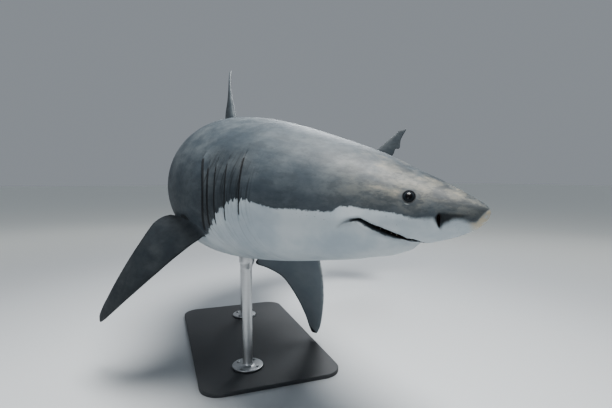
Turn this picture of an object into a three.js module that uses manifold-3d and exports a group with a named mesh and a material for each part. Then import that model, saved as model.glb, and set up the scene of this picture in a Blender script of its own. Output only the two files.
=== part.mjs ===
// A great white shark at life size, cruising in a gentle curve, held over a flat base by two rods.
// Millimetres, +Z up. The middle of the trunk swims towards +X and its left side is +Y.
// The origin is the centre of the underside of the base.

import * as THREE from 'three';
import { mergeVertices } from 'three/addons/utils/BufferGeometryUtils.js';
import Module from 'manifold-3d';

const wasm = await Module();
wasm.setup();

// ---------------------------------------------------------------- driving sizes

const LENGTH = 4400;                                // snout tip to the tip of the upper tail lobe
const GAP = 0.3;                                    // clearance between neighbouring solids
const SNOUT = new THREE.Vector3(1850, 420, 1080);   // tip of the snout, seen from the origin
const BODY_SIDES = 28;                              // corners of one ring round the body
const FIN_SIDES = 12;                               // corners of one ring round a fin
const EDGE = 1.2;                                   // half the thickness of a fin's rim

// Places on the animal are in thousandths of its length, measured on the straightened body:
// how far behind the snout, how far to the left, and how far above the spine line.
const mm = (thousandths) => thousandths * LENGTH / 1000;

// ---------------------------------------------------------------- smooth curves

// The curve through ys at the places xs: a cubic Hermite, its slopes averaged from both neighbours.
function smooth(xs, ys, x) {
  const last = xs.length - 2;
  let i = 0;
  while (i < last && x >= xs[i + 1]) i += 1;
  const width = (k) => xs[k + 1] - xs[k];
  const rise = (k) => (ys[k + 1] - ys[k]) / width(k);
  const slope = (k) => {
    if (k === 0) return rise(0);
    if (k > last) return rise(last);
    return (rise(k - 1) * width(k) + rise(k) * width(k - 1)) / (width(k - 1) + width(k));
  };
  const t = Math.min(1, Math.max(0, (x - xs[i]) / width(i)));
  return (1 + 2 * t) * (1 - t) ** 2 * ys[i] + t * (1 - t) ** 2 * width(i) * slope(i)
    + t * t * (3 - 2 * t) * ys[i + 1] + t * t * (t - 1) * width(i) * slope(i + 1);
}

const column = (table, k) => table.map((row) => row[k]);
const along = (table, x, k = 1) => smooth(column(table, 0), column(table, k), x);

// ---------------------------------------------------------------- the straight body

// behind the snout, half width, height of the widest line, top, bottom, squareness above, below
const BODY = [
  [0, 0, -1.5, -1.5, -1.5, 2, 2],
  [10, 11.2, -5, 7, -16.4, 2, 2],
  [30, 24.3, -9, 15.8, -26.7, 2, 1.8],
  [60, 38.3, -10, 27.7, -37.2, 2, 1.9],
  [100, 52.9, -8, 43.4, -53.6, 2, 2.2],
  [150, 68, -6, 58.3, -64.8, 2, 2.1],
  [220, 84.1, -4, 76.1, -78, 2, 2],
  [300, 94.5, -2, 90.2, -89.3, 2, 2],
  [380, 95.4, 0, 96.8, -94.9, 2, 2],
  [460, 87.9, 0, 92.1, -93, 2, 2],
  [560, 68, 0, 75.2, -79, 2, 2],
  [660, 43.5, 0, 50.8, -54.5, 2, 2],
  [740, 26.5, 0, 32, -32.9, 2, 2],
  [810, 18.9, 0, 17.9, -16.9, 2, 2],
  [850, 12, 0, 14, -14, 2, 2],
  [880, 7.5, 0, 10, -10, 2, 2],
  [898, 2.6, 0, 4, -4, 2, 2],
];
const ROOTS = column(BODY, 0).map(Math.sqrt);       // over the square root the snout comes out round
const bodyValue = (at, k) => smooth(ROOTS, column(BODY, k), Math.sqrt(at));

// One point of the skin, a superellipse: turn runs from the left side over the back.
function section(at, turn, grow = 0) {
  const c = Math.cos(turn);
  const s = Math.sin(turn);
  const power = 2 / bodyValue(at, s >= 0 ? 5 : 6);
  const middle = bodyValue(at, 2);
  const half = mm(s >= 0 ? bodyValue(at, 3) - middle : middle - bodyValue(at, 4)) + grow;
  return [
    (mm(bodyValue(at, 1)) + grow) * Math.sign(c) * Math.abs(c) ** power,
    mm(middle) + half * Math.sign(s) * Math.abs(s) ** power,
  ];
}

// Half the body's width, in thousandths, at a height above the spine line.
function halfWidth(at, up) {
  const middle = bodyValue(at, 2);
  const above = up >= middle;
  const power = bodyValue(at, above ? 5 : 6);
  const share = Math.min(1, Math.abs((up - middle) / ((above ? bodyValue(at, 3) : bodyValue(at, 4)) - middle)));
  return bodyValue(at, 1) * (1 - share ** power) ** (1 / power);
}

// ---------------------------------------------------------------- the swimming curve

// Where each place on the spine swims to, in degrees: turned from +X, and raised from level.
const HEADING = [[0, 26.8], [150, 26.8], [250, 13.8], [350, 7.3], [450, -9.2], [600, -45.3], [800, -81.7],
  [1000, -112.1]];
const PITCH = [[0, -3], [300, -0.9], [600, 2], [1000, 2.9]];
const STEP = 2.5;                                   // thousandths of the length
const SPINE_END = 1050;

function direction(at) {
  const turn = THREE.MathUtils.degToRad(along(HEADING, at));
  const rise = THREE.MathUtils.degToRad(along(PITCH, at));
  return new THREE.Vector3(Math.cos(rise) * Math.cos(turn), Math.cos(rise) * Math.sin(turn), Math.sin(rise));
}

// The spine line is walked backwards from the snout in short steps.
const spine = [];
for (let at = 0; at <= SPINE_END; at += STEP) {
  const forward = direction(at);
  const left = new THREE.Vector3(0, 0, 1).cross(forward).normalize();
  const centre = SNOUT.clone();
  if (spine.length) {
    const before = spine[spine.length - 1];
    centre.copy(before.centre).addScaledVector(before.forward.clone().add(forward), -mm(STEP) / 2);
  }
  spine.push({ centre, forward, left, up: forward.clone().cross(left) });
}

function frameAt(at) {
  const place = Math.min(at / STEP, spine.length - 1.001);
  const here = spine[Math.floor(place)];
  const next = spine[Math.floor(place) + 1];
  const blend = (key) => here[key].clone().lerp(next[key], place - Math.floor(place));
  return { centre: blend('centre'), forward: blend('forward'), left: blend('left'), up: blend('up') };
}

// A place on the straightened body, carried onto the swimming one. All but `at` in millimetres.
function bent(at, left, up, back = 0) {
  const frame = frameAt(at);
  return frame.centre.addScaledVector(frame.left, left).addScaledVector(frame.up, up)
    .addScaledVector(frame.forward, -back);
}

// ---------------------------------------------------------------- solids

function solid(geometry) {
  const bare = geometry.clone();
  bare.deleteAttribute('normal');
  bare.deleteAttribute('uv');
  const merged = mergeVertices(bare, 1e-4);
  return new wasm.Manifold(new wasm.Mesh({
    numProp: 3,
    vertProperties: new Float32Array(merged.attributes.position.array),
    triVerts: new Uint32Array(merged.index.array),
  }));
}

function geometryOf(body) {
  const { vertProperties, triVerts } = body.getMesh();
  const geometry = new THREE.BufferGeometry();
  geometry.setAttribute('position', new THREE.BufferAttribute(vertProperties, 3));
  geometry.setIndex(new THREE.BufferAttribute(triVerts, 1));
  geometry.computeVertexNormals();
  return geometry;
}

// A closed solid through rings of points, with a point at each end.
function lofted(rings, first = middleOf(rings[0]), last = middleOf(rings.at(-1))) {
  const sides = rings[0].length;
  const points = [...rings.flat(), first, last];
  const faces = [];
  for (let j = 0; j < sides; j += 1) {
    const next = (j + 1) % sides;
    for (let i = 0; i + 1 < rings.length; i += 1) {
      const [a, b, c, d] = [i * sides + j, i * sides + next, (i + 1) * sides + next, (i + 1) * sides + j];
      faces.push([a, b, c], [a, c, d]);
    }
    const end = (rings.length - 1) * sides;
    faces.push([points.length - 2, next, j], [points.length - 1, end + j, end + next]);
  }
  const volume = faces.reduce((sum, [a, b, c]) => (
    sum + points[a].dot(new THREE.Vector3().crossVectors(points[b], points[c]))), 0);
  const index = (volume > 0 ? faces : faces.map(([a, b, c]) => [a, c, b])).flat();
  const geometry = new THREE.BufferGeometry();
  geometry.setAttribute('position', new THREE.Float32BufferAttribute(points.flatMap((p) => p.toArray()), 3));
  geometry.setIndex(index);
  return solid(geometry);
}

function middleOf(ring) {
  return ring.reduce((sum, p) => sum.add(p), new THREE.Vector3()).divideScalar(ring.length);
}

// ---------------------------------------------------------------- body lengths

// name, from, to, rings, and how strongly the rings crowd towards the front
const LENGTHS = [
  ['head', 0, 185, 14, 1.8],
  ['gill_region', 185, 285, 4, 1],
  ['trunk_front', 285, 400, 5, 1],
  ['trunk_middle', 400, 520, 5, 1],
  ['trunk_rear', 520, 660, 6, 1],
  ['tail_stock', 660, 898, 11, 1],
];
const TIP_RING = 0.4;                               // the first ring, just behind the snout tip
const SNOUT_TIP = bent(0, 0, mm(-1.5));

function ringPlaces([, from, to, count, crowd]) {
  return Array.from({ length: count + 1 }, (_, i) => Math.max(TIP_RING, from + (to - from) * (i / count) ** crowd));
}

function ring(at, grow = 0, shift = 0) {
  return Array.from({ length: BODY_SIDES }, (_, j) => {
    const [left, up] = section(at, 2 * Math.PI * j / BODY_SIDES, grow);
    return bent(at, left, up, shift);
  });
}

function bodyLength(part) {
  const places = ringPlaces(part);
  const rings = places.map((at, i) => {
    if (i === 0 && part[1] > 0) return ring(at, 0, GAP / 2);
    return ring(at, 0, i === places.length - 1 ? -GAP / 2 : 0);
  });
  return part[1] > 0 ? lofted(rings) : lofted(rings, SNOUT_TIP);
}

// The whole body, a clearance larger all round: it trims whatever grows out of it.
const places = [...new Set(LENGTHS.flatMap(ringPlaces))];
const roomForBody = lofted(places.map((at, i) => ring(at, GAP, i === places.length - 1 ? GAP : 0)),
  bent(0, 0, mm(-1.5), -GAP));

// ---------------------------------------------------------------- fins

// A fin is a table of ribs, from inside the body out to the tip:
// front end of the rib (two coordinates), rear end (two), thickness.
// The rib's section rises quickly behind its front edge and tapers straight to its rear edge.
function fin(ribs, rings, put) {
  const order = ribs.map((_, k) => k);
  const shape = (k, c) => smooth(order, column(ribs, c), k);
  return lofted(Array.from({ length: rings }, (_, i) => {
    const k = i / (rings - 1) * (ribs.length - 1);
    const [a0, b0, a1, b1, thickness] = [0, 1, 2, 3, 4].map((c) => shape(k, c));
    return Array.from({ length: FIN_SIDES }, (_unused, j) => {
      const turn = 2 * Math.PI * (j + 0.5) / FIN_SIDES;
      const x = Math.max(0, 0.5 - 0.5 * Math.cos(turn) / Math.cos(Math.PI / FIN_SIDES));
      const half = mm(thickness) * 1.3 * Math.sqrt(x) * (1 - x) + EDGE;
      return put(a0 + (a1 - a0) * x, b0 + (b1 - b0) * x, Math.sign(Math.sin(turn)) * half);
    });
  }));
}

// Fins in the middle plane: ribs in (behind the snout, above the spine).
const upright = (at, up, side) => bent(at, side, mm(up));

const FIRST_DORSAL = [
  [381, 74, 467, 72, 17], [382, 94, 474, 90, 17], [392, 104, 502, 97, 15.5], [405, 119, 492, 106.5, 14],
  [421, 138, 478, 124, 8], [438, 157, 475, 145, 4.2], [456, 175, 477, 166, 3], [472, 188, 482, 183, 2.2],
  [483.5, 193, 485, 192, 1],
];
const SECOND_DORSAL = [
  [693, 28, 707, 26, 5], [696, 42.5, 711, 40.5, 4.5], [702, 50, 721, 43.5, 3.2], [708, 55.5, 716, 51, 2],
  [713, 58.5, 714.5, 57.5, 0.6],
];
const ANAL = [
  [713, -26, 726, -24, 5], [716, -39.5, 730, -36.5, 4.5], [722, -47, 740, -40, 3.2], [728, -52.5, 736, -48, 2],
  [733, -55.5, 734.5, -54.5, 0.6],
];
const HALF_GAP = 500 * GAP / LENGTH;                // the two tail lobes part along the spine line
const UPPER_LOBE = [
  [800, HALF_GAP, 903, HALF_GAP, 16], [806, 13, 908, 13, 15], [832, 33, 922, 34, 12], [865, 53, 941, 54, 10],
  [902, 76.5, 958.5, 72, 8], [939.5, 99, 978.5, 87, 6.5], [965, 122, 984.5, 102.5, 5], [981, 136, 991, 103.5, 4],
  [991, 146.5, 995, 107.5, 3.5], [1002, 149, 996.5, 126.5, 2.5], [1007.5, 151.7, 1007.8, 150.7, 0.6],
];
const LOWER_LOBE = [
  [800, -HALF_GAP, 901, -HALF_GAP, 16], [806, -15, 905, -10, 15], [822, -36, 913, -30, 12],
  [845, -60, 924, -53, 9.5], [875, -82, 935, -76, 7], [908, -101, 944, -97, 5], [935, -114, 950, -111, 3],
  [951, -121, 953.5, -120, 0.8],
];
// The keels are one flat wing across the tail stock: ribs in (behind the snout, to the left).
const KEELS = [
  [806, -30.5, 822, -30.5, 0.8], [790, -28.5, 846, -27, 2.2], [768, -22, 862, -17, 4.5], [752, 0, 868, 0, 6],
  [768, 22, 862, 17, 4.5], [790, 28.5, 846, 27, 2.2], [806, 30.5, 822, 30.5, 0.8],
];
const keels = fin(KEELS, 9, (at, left, up) => bent(at, mm(left), up));
const roomForKeels = fin(KEELS.map((rib) => [rib[0] - 0.1, rib[1] * 1.01, rib[2] + 0.1, rib[3] * 1.01, rib[4]]),
  9, (at, left, up) => bent(at, mm(left), up + Math.sign(up) * GAP));

// Paired fins are rigid blades: ribs in (out along the blade, back along the chord).
const PECTORAL = [
  [-24, -7, -24, 50, 15], [-6, -1, -6, 60, 15], [6, 2, 4, 90, 13], [20, 8.4, 11, 108.2, 12],
  [42, 17.9, 27, 98.2, 10.5], [72, 32.6, 54, 92.7, 9], [105, 54.6, 92, 97.7, 7], [134, 79.8, 126, 108.8, 5],
  [154, 100.7, 150, 121, 3.5], [164, 113.4, 162, 126.2, 2], [168, 119.8, 167, 123.6, 0.8],
];
const PELVIC = [
  [-14, -4, -14, 34, 7], [0, 0, 0, 40, 6.5], [9, 6, 4, 58, 5], [20, 15, 15, 55, 4], [32, 28, 28, 51, 2.5],
  [40, 40, 38, 49, 1.5], [42, 45, 41.5, 48, 0.6],
];
const PECTORAL_SPAN = 165;

// How a paired fin is held. droop, curl, sweep and the twists at TWIST_PLACES are in degrees,
// with a twist counted upwards at the rear edge.
const TWIST_PLACES = [0, 0.12, 0.4, 1];             // shares of the span
const PECTORAL_RIGHT = {
  side: -1, root: [276.9, 76, -50.2], droop: 51.5, curl: 21.3, sweep: 5.2, twist: [10.1, 18.5, 19.1, 10.6],
  span: PECTORAL_SPAN,
};
const PECTORAL_LEFT = {
  side: 1, root: [277.6, 76, -55.9], droop: 62, curl: -13.3, sweep: -6.3, twist: [-30.3, -42, -34.4, -34.8],
  span: PECTORAL_SPAN,
};
const PELVIC_HOLD = { root: [558, 40, -56], droop: 38, curl: 8, sweep: 0, twist: [4, 4, 3, 2], span: 42 };

function paired(ribs, rings, hold) {
  const radians = THREE.MathUtils.degToRad;
  const [at, left, up] = hold.root;
  const droop = radians(hold.droop);
  const bend = radians(hold.curl) / hold.span;
  const [c, s] = [Math.cos(radians(hold.sweep)), Math.sin(radians(hold.sweep))];
  return fin(ribs, rings, (out, chord, side) => {
    const span = out * c - chord * s;
    const back = out * s + chord * c;
    const share = Math.min(1, Math.max(0, span / hold.span));
    const twist = radians(smooth(TWIST_PLACES, hold.twist, share));
    const lean = droop + radians(hold.curl) * share;
    const rise = mm(back) * Math.sin(twist) + side * Math.cos(twist);
    const outward = mm((Math.sin(droop + bend * span) - Math.sin(droop)) / bend) + rise * Math.sin(lean);
    const downward = mm((Math.cos(droop) - Math.cos(droop + bend * span)) / bend) - rise * Math.cos(lean);
    return bent(at, hold.side * (mm(left) + outward), mm(up) - downward,
      mm(back) * Math.cos(twist) - side * Math.sin(twist));
  });
}

// ---------------------------------------------------------------- mouth and teeth

// The mouth line in side view, front to corner: (behind the snout, above the spine)
const MOUTH = [[48.5, -30.2], [53, -28.2], [57, -25.9], [64, -22.6], [70, -20], [77.5, -17.2], [83.5, -14],
  [87, -13.4], [92, -14.2]];
const MOUTH_OPEN = 12;                              // at the front; it narrows to nothing at the corner
const THROAT = [131, -75];                          // the jaw's hinge line runs down to here
const JAW_WIDTH = 90;                               // wider than the head

const mouthOpen = (at) => MOUTH_OPEN * Math.min(1, Math.max(0.03, (MOUTH.at(-1)[0] - at) / 22));

// Everything between the mouth line and the throat, with its upper edge moved by a share of the opening.
function jawRegion(share, grow) {
  const edge = MOUTH.map(([at]) => at).flatMap((at, i, all) => (
    i + 1 < all.length ? [at, (at + all[i + 1]) / 2] : [at]));
  const outline = [
    [MOUTH[0][0] - grow, -90], ...edge.map((at, i) => [i === 0 ? at - grow : at, along(MOUTH, at) + grow
      + share * mouthOpen(at) * 1000 / LENGTH]),
    [MOUTH.at(-1)[0] + grow, MOUTH.at(-1)[1] + grow], [THROAT[0] + grow, THROAT[1]], [THROAT[0] + grow, -90],
  ];
  const shape = new THREE.Shape(outline.map(([at, up]) => new THREE.Vector2(at, up)));
  const geometry = new THREE.ExtrudeGeometry(shape, { depth: 2 * JAW_WIDTH, bevelEnabled: false });
  const position = geometry.attributes.position;
  for (let i = 0; i < position.count; i += 1) {
    const left = position.getZ(i) - JAW_WIDTH;
    position.setXYZ(i, ...bent(position.getX(i), mm(left), mm(position.getY(i))).toArray());
  }
  return solid(geometry);
}

// Small pointed teeth stand on the edge of each jaw, the two rows taking turns.
const TEETH = 6;
const TOOTH_RADIUS = 4;
const TOOTH_INSET = 9;                              // behind the lip

function teeth(direction, phase) {
  const all = [];
  for (let i = 0; i < TEETH; i += 1) {
    const at = 54.5 + 27 * ((i + phase) / TEETH) ** 1.35;
    const open = mouthOpen(at);
    const lip = along(MOUTH, at) * LENGTH / 1000 - direction * open / 2;
    const width = mm(halfWidth(at, along(MOUTH, at))) - TOOTH_INSET;
    for (const side of [-1, 1]) {
      const tooth = new THREE.ConeGeometry(TOOTH_RADIUS * (0.5 + open / 24), 1.8 * open, 4);
      tooth.rotateX(direction * Math.PI / 2);       // the cone's point turns to +Z or -Z
      const frame = frameAt(at);
      tooth.applyMatrix4(new THREE.Matrix4().makeBasis(frame.forward, frame.left, frame.up)
        .setPosition(bent(at, side * width, lip - direction * open * 0.2)));
      all.push(solid(tooth));
    }
  }
  return all;
}

// ---------------------------------------------------------------- eyes

const EYE_RADIUS = 27;
const EYE_DEPTH = 19;                               // the ball's centre lies this far under the skin
const EYE_AT = 51.9;
const EYE_TURN = 29.7;                              // above the widest line, in degrees

function eyeBall(side, grow = 0) {
  const turn = THREE.MathUtils.degToRad(EYE_TURN);
  const on = (at, angle) => {
    const [left, up] = section(at, angle);
    return bent(at, side * left, up);
  };
  const here = on(EYE_AT, turn);
  const behind = on(EYE_AT + 1, turn).sub(here);
  const above = on(EYE_AT, turn + 0.02).sub(here);
  const outwards = behind.cross(above).normalize();
  if (outwards.dot(frameAt(EYE_AT).left) * side < 0) outwards.negate();
  const ball = new THREE.SphereGeometry(EYE_RADIUS + grow, 14, 8);
  ball.applyQuaternion(new THREE.Quaternion().setFromUnitVectors(new THREE.Vector3(0, 1, 0), outwards));
  ball.translate(...here.addScaledVector(outwards, -EYE_DEPTH).toArray());
  return solid(ball);
}

// ---------------------------------------------------------------- gill slits

// foot of the slit's curve behind the snout, top, bottom, and how far it bows forward at mid height
const GILLS = [[196, 38, -22, 7], [213, 32, -30, 8], [227, 30, -36, 9], [238, 28, -40, 11], [246, 38, -46, 17]];
const GILL_WIDTH = 3.5;
const GILL_DEPTH = 24;

function gillSlit([foot, top, bottom, bow], side) {
  const heights = [0, 1, 2, 3].map((k) => bottom + (top - bottom) * k / 3);
  const centre = (up) => foot + bow * ((up - (top + bottom) / 2) / ((top - bottom) / 2)) ** 2;
  return lofted(heights.map((up) => {
    const outside = mm(halfWidth(centre(up), up));
    return [[-1, 14], [1, 14], [1, -GILL_DEPTH], [-1, -GILL_DEPTH]].map(([along2, out]) => (
      bent(centre(up), side * (outside + out), mm(up), along2 * GILL_WIDTH / 2)));
  }));
}

// ---------------------------------------------------------------- the stand

const BASE = { length: 1500, width: 840, thickness: 25, corner: 120 };
const ROD_PLACES = { front: 335, rear: 560 };       // under the body, behind the snout
const ROD = { radius: 30, cup: 46, cupHeight: 70, flange: 95, flangeHeight: 14 };

function standBase() {
  const { length, width, thickness, corner } = BASE;
  const [x, y] = [length / 2 - corner, width / 2 - corner];
  const outline = new THREE.Shape();
  outline.absarc(x, y, corner, 0, Math.PI / 2);
  outline.absarc(-x, y, corner, Math.PI / 2, Math.PI);
  outline.absarc(-x, -y, corner, Math.PI, 1.5 * Math.PI);
  outline.absarc(x, -y, corner, 1.5 * Math.PI, 2 * Math.PI);
  return solid(new THREE.ExtrudeGeometry(outline, { depth: thickness, bevelEnabled: false, curveSegments: 6 }));
}

// A round rod with a flange at its foot and a cup under the belly, trimmed to the belly's shape.
function standRod(at) {
  const belly = bent(at, 0, mm(bodyValue(at, 4)));
  const foot = BASE.thickness + GAP;
  const top = belly.z + 90;
  const profile = [
    [0, foot], [ROD.flange, foot], [ROD.flange, foot + ROD.flangeHeight - 4],
    [ROD.flange - 4, foot + ROD.flangeHeight], [ROD.radius + 14, foot + ROD.flangeHeight],
    [ROD.radius + 4, foot + ROD.flangeHeight + 4], [ROD.radius, foot + ROD.flangeHeight + 14],
    [ROD.radius, belly.z - ROD.cupHeight], [ROD.radius + 5, belly.z - ROD.cupHeight + 22],
    [ROD.cup, belly.z - 12], [ROD.cup, top], [0, top],
  ].map(([radius, z]) => new THREE.Vector2(radius, z));
  const rod = new THREE.LatheGeometry(profile, 16);
  rod.rotateX(Math.PI / 2);                         // the lathe's axis turns from Y to Z
  rod.translate(belly.x, belly.y, 0);
  return solid(rod).subtract(roomForBody);
}

// ---------------------------------------------------------------- the model

const slate = new THREE.MeshStandardMaterial({ color: 0x5b6670, roughness: 0.6, metalness: 0 });
const pale = new THREE.MeshStandardMaterial({ color: 0xcfd6da, roughness: 0.6, metalness: 0 });
const black = new THREE.MeshStandardMaterial({ color: 0x0b0c0e, roughness: 0.1, metalness: 0 });
const plate = new THREE.MeshStandardMaterial({ color: 0x3a3d40, roughness: 0.45, metalness: 0.2 });
const steel = new THREE.MeshStandardMaterial({ color: 0xa8abae, roughness: 0.35, metalness: 1 });

const shark = new THREE.Group();

function add(name, body, material) {
  const mesh = new THREE.Mesh(geometryOf(body), material);
  mesh.name = name;
  shark.add(mesh);
}

const lengths = Object.fromEntries(LENGTHS.map((part) => [part[0], bodyLength(part)]));
const jaw = lengths.head.intersect(jawRegion(-0.5, 0));
const cutAll = (body, tools) => tools.reduce((rest, tool) => rest.subtract(tool), body);
const joinAll = (body, pieces) => pieces.reduce((sum, piece) => sum.add(piece), body);

add('head', joinAll(cutAll(lengths.head, [jawRegion(0.5, 0.07), eyeBall(1, GAP), eyeBall(-1, GAP)]),
  teeth(-1, 0.5)), slate);
add('lower_jaw', joinAll(jaw, teeth(1, 1)), pale);
add('eye_left', eyeBall(1), black);
add('eye_right', eyeBall(-1), black);
add('gill_region', cutAll(lengths.gill_region, GILLS.flatMap((slit) => [gillSlit(slit, 1), gillSlit(slit, -1)])),
  slate);
for (const name of ['trunk_front', 'trunk_middle', 'trunk_rear']) add(name, lengths[name], slate);
add('tail_stock', lengths.tail_stock.add(keels), slate);

const trimmed = (blade) => blade.subtract(roomForBody);
add('first_dorsal_fin', trimmed(fin(FIRST_DORSAL, 14, upright)), slate);
add('second_dorsal_fin', trimmed(fin(SECOND_DORSAL, 8, upright)), slate);
add('anal_fin', trimmed(fin(ANAL, 8, upright)), pale);
add('caudal_upper_lobe', trimmed(fin(UPPER_LOBE, 17, upright)).subtract(roomForKeels), slate);
add('caudal_lower_lobe', trimmed(fin(LOWER_LOBE, 13, upright)).subtract(roomForKeels), slate);
add('pectoral_fin_right', trimmed(paired(PECTORAL, 17, PECTORAL_RIGHT)), slate);
add('pectoral_fin_left', trimmed(paired(PECTORAL, 17, PECTORAL_LEFT)), slate);
add('pelvic_fin_right', trimmed(paired(PELVIC, 9, { ...PELVIC_HOLD, side: -1 })), pale);
add('pelvic_fin_left', trimmed(paired(PELVIC, 9, { ...PELVIC_HOLD, side: 1 })), pale);

add('stand_base', standBase(), plate);
add('stand_rod_front', standRod(ROD_PLACES.front), steel);
add('stand_rod_rear', standRod(ROD_PLACES.rear), steel);

export default shark;
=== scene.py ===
# %% [markdown]
# # A great white shark at life size
#
# This lesson dresses a solid model of a swimming shark on a display stand. The solids give the places
# and sizes; here they get one seamless skin, wet black eyes, teeth, a steel stand and a studio.
# Everything is in metres, in the solids' own frame.

# %% Load the solid model
import bpy
import numpy as np
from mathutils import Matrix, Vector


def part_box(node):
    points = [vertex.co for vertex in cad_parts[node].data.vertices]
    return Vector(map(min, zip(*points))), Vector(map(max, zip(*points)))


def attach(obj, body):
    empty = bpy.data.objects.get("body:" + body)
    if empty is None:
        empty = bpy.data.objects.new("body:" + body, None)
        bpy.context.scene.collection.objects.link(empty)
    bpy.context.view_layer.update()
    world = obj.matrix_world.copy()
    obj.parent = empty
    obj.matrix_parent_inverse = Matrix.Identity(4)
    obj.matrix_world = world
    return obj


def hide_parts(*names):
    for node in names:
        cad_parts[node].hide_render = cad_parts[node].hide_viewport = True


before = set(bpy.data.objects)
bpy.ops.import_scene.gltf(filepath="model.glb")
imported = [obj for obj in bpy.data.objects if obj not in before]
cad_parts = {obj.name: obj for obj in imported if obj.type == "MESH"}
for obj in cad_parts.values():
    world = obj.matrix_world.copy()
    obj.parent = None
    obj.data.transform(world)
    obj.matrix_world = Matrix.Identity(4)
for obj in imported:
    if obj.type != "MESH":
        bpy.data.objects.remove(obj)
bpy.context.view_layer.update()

scene = bpy.context.scene

# %% [markdown]
# ## Measuring in thousandths
# The body is described straight, as if it swam in a line: how far behind the snout, to the left and above
# the spine a place is, in thousandths of the length. Later it is bent.

# %% Units and smooth curves
LENGTH = 4.4
UNIT = LENGTH / 1000          # one thousandth of the length, in metres
MM = 0.001 / UNIT             # one millimetre, in thousandths of the length


def smooth(xs, ys, x):
    """The curve through (xs, ys): a cubic on each stretch. The slope at a point is the average of the
    stretches that meet there, weighted by their widths."""
    xs, ys = np.asarray(xs, float), np.asarray(ys, float)
    width = np.diff(xs)
    rise = np.diff(ys) / width
    inner = (rise[:-1] * width[:-1] + rise[1:] * width[1:]) / (width[:-1] + width[1:])
    slope = np.concatenate([rise[:1], inner, rise[-1:]])
    i = np.clip(np.searchsorted(xs, x, side="right") - 1, 0, len(xs) - 2)
    t = np.clip((x - xs[i]) / width[i], 0, 1)
    return ((1 + 2 * t) * (1 - t) ** 2 * ys[i] + t * (1 - t) ** 2 * width[i] * slope[i]
            + t * t * (3 - 2 * t) * ys[i + 1] + t * t * (t - 1) * width[i] * slope[i + 1])


def ramp(low, high, x):
    """0 up to low, 1 from high on, the S-curve 3t^2 - 2t^3 between. It falls if low is above high."""
    t = np.clip((x - low) / (high - low), 0, 1)
    return t * t * (3 - 2 * t)


print("one unit is", UNIT, "m")

# %% [markdown]
# ## The swimming curve
# A spine line is walked backwards from the snout, turning as a table of headings says. Each place on it has
# three directions: forward, left and up. Bending a point means going to its place on the line and then out
# along left and up. `unbend` is the reverse, which tells the colours where on the straight body they are.

# %% The spine
SNOUT = np.array([1.85, 0.42, 1.08])
HEADING = np.array([[0, 26.8], [150, 26.8], [250, 13.8], [350, 7.3], [450, -9.2], [600, -45.3],
                    [800, -81.7], [1000, -112.1]])
PITCH = np.array([[0, -3], [300, -0.9], [600, 2], [1000, 2.9]])
STEP, SPINE_END = 2.5, 1050
SPINE = np.arange(0, SPINE_END + STEP / 2, STEP)
COARSE, CHUNK = 8, 20000      # a search starts from every eighth sample, for so many points at once


def unit(vectors):
    """The vectors made one long."""
    return vectors / np.linalg.norm(vectors, axis=-1, keepdims=True)


def aim(heading, pitch):
    """The direction with this heading and pitch, in degrees."""
    heading, pitch = np.radians(heading), np.radians(pitch)
    return np.stack([np.cos(pitch) * np.cos(heading), np.cos(pitch) * np.sin(heading), np.sin(pitch)], -1)


FORWARD = aim(smooth(*HEADING.T, SPINE), smooth(*PITCH.T, SPINE))
LEFT = unit(np.cross([0, 0, 1], FORWARD))
UP = np.cross(FORWARD, LEFT)
stride = (FORWARD[1:] + FORWARD[:-1]) / 2 * STEP * UNIT
CENTRE = SNOUT - np.concatenate([np.zeros((1, 3)), np.cumsum(stride, 0)])


def on_spine(table, at):
    """The table's row at each place, mixed between the two nearest."""
    return np.stack([np.interp(at, SPINE, table[:, k]) for k in range(3)], -1)


def bend(at, left, up, back=0):
    """centre(at) + left * LEFT + up * UP - back * FORWARD, from thousandths to metres."""
    at, left, up, back = np.broadcast_arrays(at, left, up, back)
    return (on_spine(CENTRE, at) + UNIT * (left[..., None] * on_spine(LEFT, at)
            + up[..., None] * on_spine(UP, at) - back[..., None] * on_spine(FORWARD, at)))


def unbend(points):
    """Starts at the nearest sample of the spine and slides until no offset points forward."""
    at = np.concatenate([SPINE[::COARSE][((part[:, None] - CENTRE[::COARSE]) ** 2).sum(-1).argmin(1)]
                         for part in np.array_split(points, len(points) // CHUNK + 1)])
    for _ in range(9):
        offset = points - on_spine(CENTRE, at)
        at = np.clip(at - (offset * on_spine(FORWARD, at)).sum(-1) / UNIT, 0, SPINE_END)
    offset = (points - on_spine(CENTRE, at)) / UNIT
    return at, (offset * on_spine(LEFT, at)).sum(-1), (offset * on_spine(UP, at)).sum(-1)


print("spine ends at", CENTRE[-1].round(3))

# %% [markdown]
# ## The straight body
# Each crosswise cut of the body is a superellipse: a circle stretched to a width, a top and a bottom, and
# squared a little by its power. Reading the table over the root of the place makes the snout's tip round.

# %% The table of sections
BODY = np.array([
    # behind the snout, half width, height of the widest line, top, bottom, power above, power below
    [0, 0, -1.5, -1.5, -1.5, 2, 2], [10, 11.2, -5, 7, -16.4, 2, 2], [30, 24.3, -9, 15.8, -26.7, 2, 1.8],
    [60, 38.3, -10, 27.7, -37.2, 2, 1.9], [100, 52.9, -8, 43.4, -53.6, 2, 2.2],
    [150, 68, -6, 58.3, -64.8, 2, 2.1], [220, 84.1, -4, 76.1, -78, 2, 2],
    [300, 94.5, -2, 90.2, -89.3, 2, 2], [380, 95.4, 0, 96.8, -94.9, 2, 2], [460, 87.9, 0, 92.1, -93, 2, 2],
    [560, 68, 0, 75.2, -79, 2, 2], [660, 43.5, 0, 50.8, -54.5, 2, 2], [740, 26.5, 0, 32, -32.9, 2, 2],
    [810, 18.9, 0, 17.9, -16.9, 2, 2], [850, 12, 0, 14, -14, 2, 2], [880, 7.5, 0, 10, -10, 2, 2],
    [898, 2.6, 0, 4, -4, 2, 2]])
BODY_END = BODY[-1, 0]


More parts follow.
